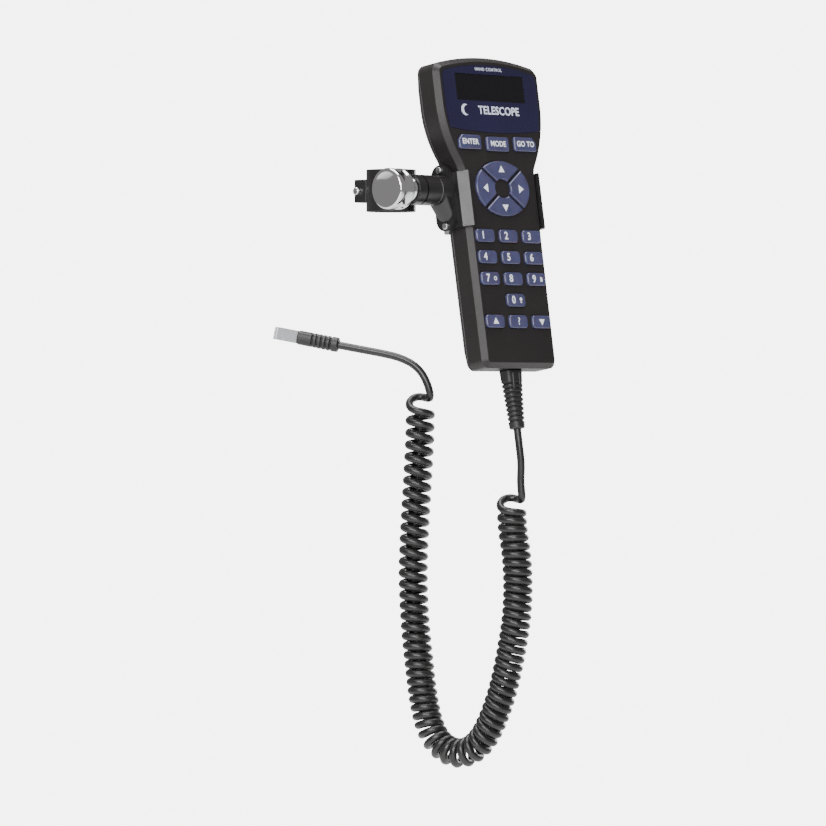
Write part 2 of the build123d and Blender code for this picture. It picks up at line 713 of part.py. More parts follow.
with BuildPart() as far_contacts:
    with BuildSketch(far_plane(FAR_BOOT_LENGTH + FAR_PLUG_LENGTH - CONTACT_SLOT[2])):
        with Locations((0, PLUG_SIZE[1] / 2 - 0.3)):
            with GridLocations(CONTACT_PITCH, 1, CONTACT_COUNT, 1):
                Rectangle(0.34, CONTACT_SLOT[1] / 2)
    extrude(amount=CONTACT_LENGTH)
save(far_contacts, "far_contacts")

# Cradle: channel round the narrow grip, with bevelled lips over the handset's edges
half_grip = GRIP_WIDTH / 2
GRIP_SECTION = [
    (half_grip, FACE + FRONT_BEVEL),
    (half_grip - FRONT_BEVEL, FACE),
    (FRONT_BEVEL - half_grip, FACE),
    (-half_grip, FACE + FRONT_BEVEL),
    (-half_grip, REAR_STRAIGHT),
    (REAR_BEVEL - half_grip, BACK),
    (half_grip - REAR_BEVEL, BACK),
    (half_grip, REAR_STRAIGHT),
]
with BuildPart() as cradle:
    with BuildSketch(cross_plane(CRADLE_BOTTOM)):
        Polygon(*GRIP_SECTION, align=None)
        offset(amount=CRADLE_GAP + CRADLE_WALL, kind=Kind.INTERSECTION)
    extrude(amount=CRADLE_TOP - CRADLE_BOTTOM)
    chamfer(cradle.edges().filter_by(GeomType.LINE).group_by(HEIGHT)[-1], CRADLE_EDGE)
    with BuildSketch(cross_plane(CRADLE_BOTTOM)):
        Polygon(*GRIP_SECTION, align=None)
        offset(amount=CRADLE_GAP, kind=Kind.INTERSECTION)
        with Locations((0, FACE)):
            Rectangle(2 * LIP_REACH, THICKNESS / 2, mode=Mode.ADD)
    extrude(amount=CRADLE_TOP - CRADLE_BOTTOM, mode=Mode.SUBTRACT)
    # tab below the back wall
    with BuildSketch(back_plane(BACK + CRADLE_GAP)):
        with Locations((0, CRADLE_BOTTOM - 1.5)):
            RectangleRounded(*TAB_SIZE, 2.0)
    extrude(amount=CRADLE_WALL)
save(cradle, "cradle")

# Hub on the cradle's left wall: barrel, gusset and screwed plate
with BuildPart() as cradle_hub:
    with BuildSketch(side_plane(WASHER_END)):
        Circle(BARREL_RADIUS)
    extrude(amount=PLATE_START - WASHER_END)
    with BuildSketch(side_plane(GUSSET_START)):
        RectangleRounded(*GUSSET_SMALL)
    with BuildSketch(side_plane(PLATE_START)):
        with Locations((0, GUSSET_DROP)):
            RectangleRounded(*GUSSET_LARGE)
    loft(ruled=True)
    with BuildSketch(side_plane(PLATE_START)):
        with Locations(HUB_PLATE_CENTRE):
            RectangleRounded(*HUB_PLATE, HUB_PLATE_CORNER)
    extrude(amount=CRADLE_LEFT - PLATE_START)
    with BuildSketch(side_plane(WASHER_END)):
        Circle(SWIVEL_RADIUS + 0.05)
    extrude(amount=CRADLE_LEFT - WASHER_END, mode=Mode.SUBTRACT)
    with BuildSketch(side_plane(HEAD_POCKET)):
        Circle(HEAD_POCKET_RADIUS)
    extrude(amount=CRADLE_LEFT - HEAD_POCKET, mode=Mode.SUBTRACT)
    with BuildSketch(side_plane(PLATE_START)):
        with Locations(*HUB_SCREWS):
            Circle(HUB_SCREW_RADIUS)
    extrude(amount=CRADLE_LEFT - PLATE_START, mode=Mode.SUBTRACT)
save(cradle_hub, "cradle_hub")

with BuildPart() as hub_screws:
    with BuildSketch(side_plane(PLATE_START - HUB_HEAD[1])):
        with Locations(*HUB_SCREWS):
            Circle(HUB_HEAD[0])
    extrude(amount=HUB_HEAD[1])
    fillet(hub_screws.faces().group_by(Axis.X)[0].edges(), 0.5)
    with BuildSketch(side_plane(PLATE_START)):
        with Locations(*HUB_SCREWS):
            Circle(HUB_SCREW_RADIUS)
    extrude(amount=2.4)
save(hub_screws, "hub_screws")

# Swivel between the hub and the clamp
with BuildPart() as swivel_washer:
    with BuildSketch(side_plane(BOSS_END + 0.05)):
        Circle(BARREL_RADIUS - 0.4)
        Circle(SWIVEL_RADIUS + 0.1, mode=Mode.SUBTRACT)
    extrude(amount=WASHER_END - BOSS_END - 0.1)
save(swivel_washer, "swivel_washer")

with BuildPart() as swivel_screw:
    with BuildSketch(side_plane(SWIVEL_START)):
        Circle(SWIVEL_RADIUS)
    extrude(amount=HEAD_POCKET + 0.1 - SWIVEL_START)
    with BuildSketch(side_plane(HEAD_POCKET + 0.1)):
        Circle(SWIVEL_HEAD[0])
    extrude(amount=SWIVEL_HEAD[1])
    with BuildSketch(side_plane(HEAD_POCKET + SWIVEL_HEAD[1] - HEX_SOCKET[1])):
        RegularPolygon(HEX_SOCKET[0], 6)
    extrude(amount=SWIVEL_HEAD[1], mode=Mode.SUBTRACT)
save(swivel_screw, "swivel_screw")



def gap_side(side):
    """Centre of a wide rectangle that covers all but one half of the clamp, and stops at the gap."""
    return (side * (CLAMP_GAP - BEYOND), 0)


# Clamp: two halves that close on the bar, each lined with a rubber pad
def clamp_half(side, ear_depth):
    """One half of the clamp, on the side of the bar given by the sign of x."""
    with BuildSketch(Plane.XY) as ring:
        Circle(CLAMP_OUTER)
    extrude(ring.sketch, amount=CLAMP_HEIGHT / 2, both=True)
    with BuildSketch(Plane.XY) as ears:
        with Locations((side * REAR_EAR[0] / 2, PIN_Y - 1.6)):
            RectangleRounded(REAR_EAR[0], REAR_EAR[1], EAR_CORNER)
        with Locations((side * ear_depth / 2, TILT_Y / 2 - 2)):
            Rectangle(ear_depth, -TILT_Y - 4)
    extrude(ears.sketch, amount=REAR_EAR[2] / 2, both=True)
    with BuildSketch(Plane.YZ) as boss:
        with Locations((TILT_Y, 0)):
            Circle(BARREL_RADIUS)
    extrude(boss.sketch, amount=side * ear_depth)
    with BuildSketch(Plane.XY) as hollow:
        Circle(PAD_OUTER)
        with Locations(gap_side(side)):
            Rectangle(2 * BEYOND, 2 * BEYOND)
    extrude(hollow.sketch, amount=CLAMP_HEIGHT, both=True, mode=Mode.SUBTRACT)


with BuildPart() as clamp_body:
    clamp_half(1, BOSS_END)
    with BuildSketch(Plane.YZ):
        with Locations((PIN_Y, 0)):
            Circle(PIN_RADIUS)
    extrude(amount=PIN_END, mode=Mode.SUBTRACT)
    with BuildSketch(side_plane(0)):
        Circle(INSERT_RADIUS)
    extrude(amount=INSERT_END, mode=Mode.SUBTRACT)
    with BuildSketch(side_plane(0)):
        Circle(SWIVEL_RADIUS)
    extrude(amount=BOSS_END, mode=Mode.SUBTRACT)
save(clamp_body, "clamp_body")

with BuildPart() as clamp_jaw:
    clamp_half(-1, EAR_X)
    with BuildSketch(Plane.YZ):
        with Locations((PIN_Y, 0)):
            Circle(PIN_RADIUS + 0.06)
    extrude(amount=-BEYOND, mode=Mode.SUBTRACT)
    with BuildSketch(Plane.YZ):
        with Locations((TILT_Y, 0)):
            Circle(STUD_RADIUS + 0.1)
    extrude(amount=-BEYOND, mode=Mode.SUBTRACT)
    with BuildSketch(Plane.YZ):
        with Locations((TILT_Y, 0)):
            Circle(CLIP_POCKET[0])
    extrude(amount=-CLIP_POCKET[1], mode=Mode.SUBTRACT)
save(clamp_jaw, "clamp_jaw")

for side, pad_name in ((1, "body_pad"), (-1, "jaw_pad")):
    with BuildPart() as pad:
        with BuildSketch(Plane.XY):
            Circle(PAD_OUTER)
            Circle(BAR_RADIUS, mode=Mode.SUBTRACT)
            with Locations(gap_side(side)):
                Rectangle(2 * BEYOND, 2 * BEYOND, mode=Mode.SUBTRACT)
        extrude(amount=CLAMP_HEIGHT / 2, both=True)
    save(pad, pad_name)

with BuildPart() as guide_pin:
    with BuildSketch(Plane.YZ.offset(PIN_START)):
        with Locations((PIN_Y, 0)):
            Circle(PIN_RADIUS)
    extrude(amount=PIN_END - PIN_START)
    chamfer(guide_pin.faces().sort_by(Axis.X)[0].edges(), 0.4)
save(guide_pin, "guide_pin")

with BuildPart() as thread_insert:
    with BuildSketch(side_plane(INSERT_START)):
        Circle(INSERT_RADIUS)
        Circle(STUD_RADIUS + 0.05, mode=Mode.SUBTRACT)
    extrude(amount=INSERT_END - INSERT_START)
save(thread_insert, "thread_insert")

# Knob: plated head and neck on a threaded stud, kept in the jaw by a clip
with BuildPart() as knob:
    with BuildSketch(side_plane(HEAD_START)):
        Circle(KNOB_NECK)
    extrude(amount=NECK_START - HEAD_START)
    with BuildSketch(side_plane(HEAD_END)):
        Circle(KNOB_RADIUS)
    extrude(amount=HEAD_START - HEAD_END)
    chamfer(knob.faces().sort_by(Axis.X)[0].edges(), KNOB_EDGE)
    with BuildSketch(side_plane(STUD_OUTER)):
        Circle(STUD_RADIUS)
    extrude(amount=NECK_START - STUD_OUTER, mode=Mode.SUBTRACT)
save(knob, "knob")

with BuildPart() as clamp_stud:
    with BuildSketch(side_plane(STUD_OUTER)):
        Circle(STUD_RADIUS)
    extrude(amount=STUD_INNER - STUD_OUTER)
    chamfer(clamp_stud.faces().sort_by(Axis.X)[-1].edges(), 0.5)
save(clamp_stud, "clamp_stud")

with BuildPart() as stud_clip:
    with BuildSketch(side_plane(CLIP_PLACE[0])):
        Circle(CLIP_RADIUS)
        Circle(STUD_RADIUS, mode=Mode.SUBTRACT)
    extrude(amount=CLIP_PLACE[1])
save(stud_clip, "stud_clip")
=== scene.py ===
"""Looks of the telescope hand controller: its materials, legends, curly lead and holder."""

from math import atan2, cos, exp, pi, radians, sin, sqrt

import bmesh
import bpy
from mathutils import Matrix, Vector


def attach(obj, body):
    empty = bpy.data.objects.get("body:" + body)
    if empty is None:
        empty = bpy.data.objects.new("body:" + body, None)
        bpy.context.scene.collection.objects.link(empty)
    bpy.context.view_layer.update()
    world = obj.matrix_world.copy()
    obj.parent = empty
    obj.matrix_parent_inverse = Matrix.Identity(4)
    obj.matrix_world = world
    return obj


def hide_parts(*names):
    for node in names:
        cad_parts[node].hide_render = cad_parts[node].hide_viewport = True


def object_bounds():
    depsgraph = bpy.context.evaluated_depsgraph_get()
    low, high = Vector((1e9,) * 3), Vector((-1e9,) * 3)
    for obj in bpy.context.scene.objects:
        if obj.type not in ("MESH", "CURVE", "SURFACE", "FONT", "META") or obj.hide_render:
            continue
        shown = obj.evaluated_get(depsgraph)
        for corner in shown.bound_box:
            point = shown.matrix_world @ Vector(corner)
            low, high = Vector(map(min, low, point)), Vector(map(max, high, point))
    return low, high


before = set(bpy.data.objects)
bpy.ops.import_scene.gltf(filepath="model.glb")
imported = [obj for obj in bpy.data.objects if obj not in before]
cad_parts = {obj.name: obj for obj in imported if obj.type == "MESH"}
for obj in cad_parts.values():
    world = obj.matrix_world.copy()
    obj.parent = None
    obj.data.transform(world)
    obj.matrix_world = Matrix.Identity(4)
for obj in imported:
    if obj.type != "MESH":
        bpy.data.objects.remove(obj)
cad_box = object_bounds()

MM = 0.001

# The handset's own frame, as in the CAD: x to the right, depth behind its middle, height from its tail
LEAN = radians(9.0)
TILT_Y = -19.0
HANDSET_X = 53.0
PAD_CENTRE = 95.5
FACE = -11.4
KEY_TOP = FACE - 1.2
PANEL_TOP = FACE - 0.2
JACK_DEPTH = -2.4
BOOT_LENGTH = 31.0
RIGHT = Vector((1, 0, 0))
UP = Vector((0, sin(LEAN), cos(LEAN)))
INWARD = Vector((0, cos(LEAN), -sin(LEAN)))


def place(x, depth, height):
    """Point of the handset in metres, from its own measures in millimetres."""
    point = Vector((HANDSET_X + x, TILT_Y, 0)) + INWARD * depth + UP * (height - PAD_CENTRE)
    return point * MM


# ---------------------------------------------------------------- camera, light and floor

VIEW_ANGLE = radians(46.8)
CAMERA_DISTANCE = 2.905
FOCAL_LENGTH = 240.0
CAMERA_TARGET = Vector((0.0224, 0.0053, -0.1164))
# Name, place, width and height, and power of each soft light
LIGHTS = [
    ("key_light", (-2.2, -0.8, 1.1), (1.2, 1.2), 60),
    ("fill_light", (-1.85, -1.95, 0.45), (0.6, 1.5), 42),
    ("rim_light", (2.3, 0.5, 0.3), (0.8, 1.2), 26),
    ("top_light", (0.0, 0.2, 2.4), (2.2, 2.2), 120),
]
AMBIENT_COLOUR = (1.0, 0.96, 0.94, 1)
AMBIENT_STRENGTH = 0.3
BACKDROP_STRENGTH = 6.0
FLOOR_DROP = 0.4  # the floor's depth below the lowest part of the object
FLOOR_HALF = 2.6


def add_camera():
    """Level camera to the front left of the object, a long way off."""
    data = bpy.data.cameras.new("camera")
    data.lens = FOCAL_LENGTH
    data.sensor_width = 36
    data.clip_end = 50
    camera = bpy.data.objects.new("camera", data)
    back = Vector((-sin(VIEW_ANGLE), -cos(VIEW_ANGLE), 0))
    camera.location = CAMERA_TARGET + back * CAMERA_DISTANCE
    camera.rotation_euler = back.to_track_quat("Z", "Y").to_euler()
    bpy.context.collection.objects.link(camera)
    bpy.context.scene.camera = camera


def add_area_light(name, location, size, power):
    """Soft rectangular light that shines at the object."""
    data = bpy.data.lights.new(name, "AREA")
    data.shape = "RECTANGLE"
    data.size, data.size_y = size
    data.energy = power
    light = bpy.data.objects.new(name, data)
    light.location = location
    away = Vector(location) - CAMERA_TARGET
    light.rotation_euler = away.to_track_quat("Z", "Y").to_euler()
    bpy.context.collection.objects.link(light)


def add_lights():
    """A key light from the left, a softer one beside the camera, a rim and one from above."""
    for light in LIGHTS:
        add_area_light(*light)


def add_world():
    """White surroundings to look at, which light the object only dimly, as a dark studio does."""
    world = bpy.data.worlds.new("world")
    world.use_nodes = True
    tree = world.node_tree
    dim = tree.nodes["Background"]
    dim.inputs["Color"].default_value = AMBIENT_COLOUR
    dim.inputs["Strength"].default_value = AMBIENT_STRENGTH
    seen = tree.nodes.new("ShaderNodeBackground")
    seen.inputs["Color"].default_value = (1, 1, 1, 1)
    seen.inputs["Strength"].default_value = BACKDROP_STRENGTH
    path = tree.nodes.new("ShaderNodeLightPath")
    mix = tree.nodes.new("ShaderNodeMixShader")
    tree.links.new(path.outputs["Is Camera Ray"], mix.inputs["Fac"])
    tree.links.new(dim.outputs["Background"], mix.inputs[1])
    tree.links.new(seen.outputs["Background"], mix.inputs[2])
    tree.links.new(mix.outputs["Shader"], tree.nodes["World Output"].inputs["Surface"])
    bpy.context.scene.world = world


def add_floor():
    """Plain pale floor well below the object, which a bar holds up."""
    half = FLOOR_HALF
    height = cad_box[0][2] - FLOOR_DROP
    mesh = bpy.data.meshes.new("floor")
    corners = [(-half, -half), (half, -half), (half, half), (-half, half)]
    mesh.from_pydata([(x, y, height) for x, y in corners], [], [(0, 1, 2, 3)])
    floor = bpy.data.objects.new("floor", mesh)
    bpy.context.collection.objects.link(floor)
    mesh.materials.append(Finish("floor", (0.92, 0.92, 0.92), 0.7).material)


# ---------------------------------------------------------------- materials

PATCH_START = 0.35
PATCH_END = 0.65

class Finish:
    """A procedural material: a shader whose colour, roughness and bump get detail from noise."""

    def __init__(self, name, colour, roughness, metallic=0.0):
        self.material = bpy.data.materials.new(name)
        self.material.use_nodes = True
        self.tree = self.material.node_tree
        self.shader = self.tree.nodes["Principled BSDF"]
        self.colour = colour
        self.roughness = roughness
        self.set("Base Color", (*colour, 1))
        self.set("Roughness", roughness)
        self.set("Metallic", metallic)
        self.coordinates = self.tree.nodes.new("ShaderNodeTexCoord").outputs["Object"]
        self.last_normal = None

    def set(self, socket, value):
        """Set one of the shader's own sockets."""
        self.shader.inputs[socket].default_value = value
        return self

    def node(self, kind, **values):
        """Add a node and set its inputs by name."""
        made = self.tree.nodes.new(kind)
        for key, value in values.items():
            made.inputs[key.replace("_", " ")].default_value = value
        return made

    def link(self, output, socket):
        """Join an output to an input."""
        self.tree.links.new(output, socket)

    def noise(self, scale, detail=4.0, stretch=(1, 1, 1)):
        """Noise of a given number of cells in a metre, stretched along the axes."""
        mapping = self.tree.nodes.new("ShaderNodeMapping")
        mapping.inputs["Scale"].default_value = stretch
        self.link(self.coordinates, mapping.inputs["Vector"])
        made = self.node("ShaderNodeTexNoise", Scale=scale, Detail=detail)
        self.link(mapping.outputs["Vector"], made.inputs["Vector"])
        return made.outputs["Fac"]

    def vary_colour(self, scale, amount):
        """Lighten and darken the colour in patches."""
        made = self.tree.nodes.new("ShaderNodeValToRGB")
        low, high = made.color_ramp.elements
        low.position = PATCH_START
        high.position = PATCH_END
        low.color = (*[c * (1 - amount) for c in self.colour], 1)
        high.color = (*[min(1, c * (1 + amount)) for c in self.colour], 1)
        self.link(self.noise(scale), made.inputs["Fac"])
        self.link(made.outputs["Color"], self.shader.inputs["Base Color"])
        return self

    def vary_roughness(self, scale, spread, stretch=(1, 1, 1)):
        """Make the gloss uneven, as handling and moulding leave it."""
        low, high = self.roughness - spread, self.roughness + spread
        made = self.node("ShaderNodeMapRange", To_Min=low, To_Max=high)
        self.link(self.noise(scale, 3.0, stretch), made.inputs["Value"])
        self.link(made.outputs["Result"], self.shader.inputs["Roughness"])
        return self

    def bump(self, scale, height, detail=3.0, stretch=(1, 1, 1)):
        """Raise the surface by noise, by a height in metres."""
        made = self.node("ShaderNodeBump", Strength=1.0, Distance=height)
        self.link(self.noise(scale, detail, stretch), made.inputs["Height"])
        if self.last_normal:
            self.link(self.last_normal, made.inputs["Normal"])
        self.last_normal = made.outputs["Normal"]
        self.link(self.last_normal, self.shader.inputs["Normal"])
        return self


def shell_plastic():
    """Satin moulded plastic with a fine spark-eroded grain."""
    finish = Finish("shell_plastic", (0.0135, 0.0118, 0.012), 0.4)
    finish.vary_colour(35, 0.12).vary_roughness(60, 0.06).bump(2600, 0.00006, 2.0)
    finish.set("Specular IOR Level", 0.35)
    return finish.material


def holder_plastic():
    """Glass-filled nylon, a little rougher than the handset, with slight flow marks."""
    finish = Finish("holder_plastic", (0.011, 0.0105, 0.011), 0.3)
    finish.vary_colour(50, 0.15).vary_roughness(90, 0.07).bump(1500, 0.00007, 3.0)
    finish.bump(140, 0.00008, 2.0)
    return finish.material


def panel_gloss():
    """Deep blue printed panel under a clear gloss."""
    finish = Finish("panel_gloss", (0.0088, 0.0076, 0.033), 0.2)
    finish.vary_colour(18, 0.18).bump(90, 0.00002, 1.0)
    finish.set("Coat Weight", 0.35).set("Coat Roughness", 0.06).set("Specular IOR Level", 0.3)
    return finish.material


def key_silicone():
    """Translucent blue-grey moulded key with a satin skin."""
    finish = Finish("key_silicone", (0.046, 0.047, 0.112), 0.36)
    finish.vary_colour(120, 0.1).vary_roughness(300, 0.05).bump(3200, 0.00003, 2.0)
    finish.set("Subsurface Weight", 0.35).set("Subsurface Scale", 0.002)
    finish.set("Coat Weight", 0.15).set("Coat Roughness", 0.2)
    return finish.material


def window_glass():
    """Smoky clear window over the display."""
    finish = Finish("window_glass", (0.004, 0.0042, 0.006), 0.1)
    finish.vary_roughness(40, 0.02).set("Transmission Weight", 0.25).set("IOR", 1.49)
    finish.set("Specular IOR Level", 0.35)
    return finish.material


def display_glass():
    """Unlit character display: a dark field."""
    finish = Finish("display_glass", (0.012, 0.015, 0.012), 0.25)
    finish.vary_colour(900, 0.12)
    return finish.material


def white_ink():
    """Printed legend, slightly uneven."""
    finish = Finish("white_ink", (0.78, 0.8, 0.84), 0.5)
    finish.vary_colour(700, 0.06).bump(2500, 0.00002, 2.0)
    return finish.material


def panel_ink():
    """Pale printing on the face panel."""
    finish = Finish("panel_ink", (0.62, 0.66, 0.78), 0.35)
    finish.vary_colour(700, 0.08)
    return finish.material


def dark_ink():
    """Dark print of the display's cells."""
    finish = Finish("dark_ink", (0.02, 0.025, 0.02), 0.4)
    finish.vary_colour(900, 0.1)
    return finish.material


def cable_sheath():
    """Soft black sheath with a waxy sheen and faint extrusion marks."""
    finish = Finish("cable_sheath", (0.008, 0.0078, 0.008), 0.34)
    finish.vary_colour(160, 0.2).vary_roughness(220, 0.09).bump(900, 0.00004, 3.0)
    finish.set("Sheen Weight", 0.08).set("Sheen Roughness", 0.4)
    return finish.material


def boot_rubber():
    """Moulded strain relief, duller than the cable."""
    finish = Finish("boot_rubber", (0.0095, 0.0092, 0.0095), 0.46)
    finish.vary_colour(200, 0.15).vary_roughness(260, 0.06).bump(1900, 0.00006, 3.0)
    return finish.material


def pad_rubber():
    """Dense matt rubber."""
    finish = Finish("pad_rubber", (0.02, 0.02, 0.02), 0.75)
    finish.vary_colour(300, 0.2).bump(1400, 0.0001, 4.0)
    return finish.material


def clear_plastic():
    """Clear moulded plug."""
    finish = Finish("clear_plastic", (0.6, 0.63, 0.66), 0.14)
    finish.set("Transmission Weight", 0.6).set("IOR", 1.5).vary_roughness(200, 0.04).bump(500, 0.00003)
    return finish.material


def plated_chrome():
    """Bright plating with the faint waviness of a turned and polished part."""
    finish = Finish("plated_chrome", (0.72, 0.73, 0.75), 0.09, 1.0)
    finish.vary_roughness(400, 0.03, (8, 1, 1)).bump(60, 0.00002, 1.0)
    return finish.material


def zinc_steel():
    """Zinc plated fastener steel with fine turning marks."""
    finish = Finish("zinc_steel", (0.56, 0.57, 0.58), 0.27, 1.0)
    finish.vary_colour(500, 0.1).vary_roughness(900, 0.08).bump(2200, 0.00003, 2.0)
    return finish.material


def turned_brass():
    """Turned brass."""
    finish = Finish("turned_brass", (0.68, 0.47, 0.18), 0.25, 1.0)
    finish.vary_colour(400, 0.1).bump(1800, 0.00003, 2.0, (6, 1, 1))
    return finish.material


def gold_contact():
    """Gold plated contact."""
    finish = Finish("gold_contact", (0.83, 0.62, 0.25), 0.2, 1.0)
    finish.vary_roughness(900, 0.06)
    return finish.material


def washer_plastic():
    """Grey low-friction washer."""
    finish = Finish("washer_plastic", (0.3, 0.3, 0.31), 0.45)
    finish.vary_colour(300, 0.08).bump(1600, 0.00004, 2.0)
    return finish.material


def board_mask():
    """Green solder mask with copper pours showing faintly through it."""
    finish = Finish("board_mask", (0.012, 0.09, 0.035), 0.3)
    finish.vary_colour(450, 0.3).bump(800, 0.00003, 2.0)
    return finish.material


def chip_epoxy():
    """Moulded black epoxy."""
    finish = Finish("chip_epoxy", (0.02, 0.02, 0.021), 0.55)
    finish.vary_colour(400, 0.15).bump(3000, 0.00003, 2.0)
    return finish.material


def red_lens():
    """Deep red transparent lens."""
    finish = Finish("red_lens", (0.32, 0.01, 0.012), 0.15)
    finish.set("Transmission Weight", 0.4).set("IOR", 1.5).vary_roughness(250, 0.04).bump(700, 0.00002)
    return finish.material


MATERIALS = {}


def finish_of(make):
    """The one material that a maker makes, made when it is first asked for."""
    if make not in MATERIALS:
        MATERIALS[make] = make()
    return MATERIALS[make]


NODE_FINISHES = {
    shell_plastic: ["front_shell", "rear_shell"],
    panel_gloss: ["face_panel"],
    window_glass: ["lcd_window"],
    display_glass: ["lcd_glass"],
    pad_rubber: ["keypad_mat", "body_pad", "jaw_pad"],
    board_mask: ["main_board"],
    chip_epoxy: ["board_chips", "beeper", "cord_jack"],
    red_lens: ["red_led", "led_lens"],
    zinc_steel: [
        "lcd_frame", "case_screws", "board_screws", "hub_screws", "swivel_screw",
        "clamp_stud", "stud_clip", "guide_pin",
    ],
    holder_plastic: ["cradle", "cradle_hub", "clamp_body", "clamp_jaw"],
    washer_plastic: ["swivel_washer"],
    turned_brass: ["thread_insert"],
    plated_chrome: ["knob"],
    clear_plastic: ["cord_plug", "far_plug"],
    gold_contact: ["far_contacts"],
}


def dress(node, material):
    """Give a CAD node one material."""
    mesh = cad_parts[node].data
    mesh.materials.clear()
    mesh.materials.append(material)


def dress_nodes():
    """Give every carried-over CAD node its material."""
    for make, nodes in NODE_FINISHES.items():
        for node in nodes:
            dress(node, finish_of(make))
    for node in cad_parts:
        if node.startswith("key_"):
            dress(node, finish_of(key_silicone))


# ---------------------------------------------------------------- pieces


def add_piece(name, data, material, body):
    """Link a new piece, give it a material, and let it ride on a body."""
    piece = bpy.data.objects.new(name, data)
    bpy.context.collection.objects.link(piece)
    data.materials.append(material)
    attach(piece, body)
    return piece


def smooth(mesh):
    """Shade every face of a mesh smoothly."""
    for polygon in mesh.polygons:
        polygon.use_smooth = True


def mesh_from_curve(name, data):
    """Mesh without materials from curve or text data, which is removed."""
    holder = bpy.data.objects.new(name, data)
    bpy.context.collection.objects.link(holder)
    mesh = bpy.data.meshes.new_from_object(holder)
    bpy.data.objects.remove(holder)
    bpy.data.curves.remove(data)
    mesh.name = name
    mesh.materials.clear()
    return mesh


def mesh_from_builder(name, builder):
    """Mesh from a builder, with its faces turned outwards."""
    bmesh.ops.recalc_face_normals(builder, faces=builder.faces)
    mesh = bpy.data.meshes.new(name)
    builder.to_mesh(mesh)
    builder.free()
    return mesh


def mesh_from_rings(name, rings):
    """Smooth closed mesh through rings that have equally many points, in metres."""
    builder = bmesh.new()
    loops = [[builder.verts.new(point) for point in ring] for ring in rings]
    for low, high in zip(loops, loops[1:]):
        for k in range(len(low)):
            after = (k + 1) % len(low)
            builder.faces.new((low[k], low[after], high[after], high[k]))
    builder.faces.new(list(reversed(loops[0])))
    builder.faces.new(loops[-1])
    mesh = mesh_from_builder(name, builder)
    smooth(mesh)
    return mesh


# ---------------------------------------------------------------- curly lead

CORD_RADIUS = 2.1
COIL_CENTRE_RADIUS = 6.0
STRAIGHT_EXIT = 9.0

boot_tip = place(0, JACK_DEPTH, -BOOT_LENGTH) / MM
lead_turn = boot_tip - UP * STRAIGHT_EXIT
LEAD_ROUTE = [
    tuple(boot_tip),
    tuple(lead_turn),
    (54.0, -43.3, -143.5),
    (54.6, -41.9, -153.0),
]
COIL_ROUTE = [
    (52.2, -37.8, -162.5),
    (52.2, -37.8, -175.0),
    (54.8, -39.8, -194.0),
    (55.5, -39.5, -220.0),
    (54.6, -34.5, -247.0),
    (53.5, -27.8, -270.8),
    (52.0, -16.5, -292.0),
    (51.0, -0.5, -298.5),
    (50.0, 14.9, -291.5),
    (49.0, 21.6, -275.0),
    (48.4, 25.0, -252.0),
    (47.2, 27.5, -226.0),
    (46.4, 28.0, -200.0),
    (46.9, 26.8, -174.0),
    (47.8, 25.4, -147.0),
    (48.7, 24.6, -124.0),
    (48.7, 24.6, -109.5),
]
TAIL_ROUTE = [
    (51.4, 22.0, -100.0),
    (50.2, 27.5, -92.0),
    (46.4, 36.0, -87.0),
    (41.0, 45.0, -84.5),
    (35.0, 54.5, -82.5),
    (28.1, 65.5, -80.0),
]
LEAD_SIDE = Vector((2.4, -4.1, 0))
TAIL_SIDE = Vector((2.7, -2.6, 0))
TURN_POINTS = 16
# Distance between turns in millimetres, and the shares of the coil at which it opens
TIGHT_PITCH = 4.5
OPENING_PITCH = 1.5
OPENING_START = 0.55
OPENING_SPAN = 0.2
LAST_OPENING_PITCH = 0.6
LAST_OPENING_START = 0.75
# Where the coil bends, its turns spread, up to a limit
BEND_PITCH = 4.0
BEND_LIMIT = 0.4
BEND_REACH = 6  # steps of the line to each side over which a bend is measured
END_PITCH = 7.0
END_PITCH_REACH = 5.0
# The first and last turns stand open: their far side is lifted off the turn next to them
OPEN_SIDE = Vector((0.204, 0.979, 0))
END_LIFT = 6.5
END_REACH = 6.0
CORNER_ROOM = 3  # points left out beside each end, so that the corners get room to bend
LINE_RESOLUTION = 24
LEAD_RESOLUTION = 3


def nurbs_curve(name, points, resolution):
    """Curve data with one open, smooth spline whose control points are the given ones."""
    data = bpy.data.curves.new(name, "CURVE")
    data.dimensions = "3D"
    spline = data.splines.new("NURBS")
    spline.points.add(len(points) - 1)
    for control, point in zip(spline.points, points):
        control.co = (*point, 1)
    spline.order_u = 3
    spline.use_endpoint_u = True
    spline.resolution_u = resolution
    return data


def line_of(points, resolution):
    """Closely spaced points along the smooth line of a route."""
    mesh = mesh_from_curve("route", nurbs_curve("route", points, resolution))
    found = [vertex.co.copy() for vertex in mesh.vertices]
    bpy.data.meshes.remove(mesh)
    return found


def step_lengths(line):
    """Distances between neighbouring points."""
    return [(b - a).length for a, b in zip(line, line[1:])]


def base_pitch(share):
    """Distance between turns in millimetres; the end near the telescope is pulled open."""
    opening = min(1.0, max(0.0, (share - OPENING_START) / OPENING_SPAN))
    last = max(0.0, share - LAST_OPENING_START) / (1 - LAST_OPENING_START)
    return TIGHT_PITCH + OPENING_PITCH * opening + LAST_OPENING_PITCH * last


def carried_frame(line):
    """Directions of a line at its points, and side directions carried along it without twisting."""
    tangents = [(b - a).normalized() for a, b in zip(line, line[1:])]
    tangents.append(tangents[-1])
    normals = []
    normal = LEAD_SIDE.normalized()
    for tangent in tangents:
        normal = (normal - tangent * normal.dot(tangent)).normalized()
        normals.append(normal.copy())
    return tangents, normals


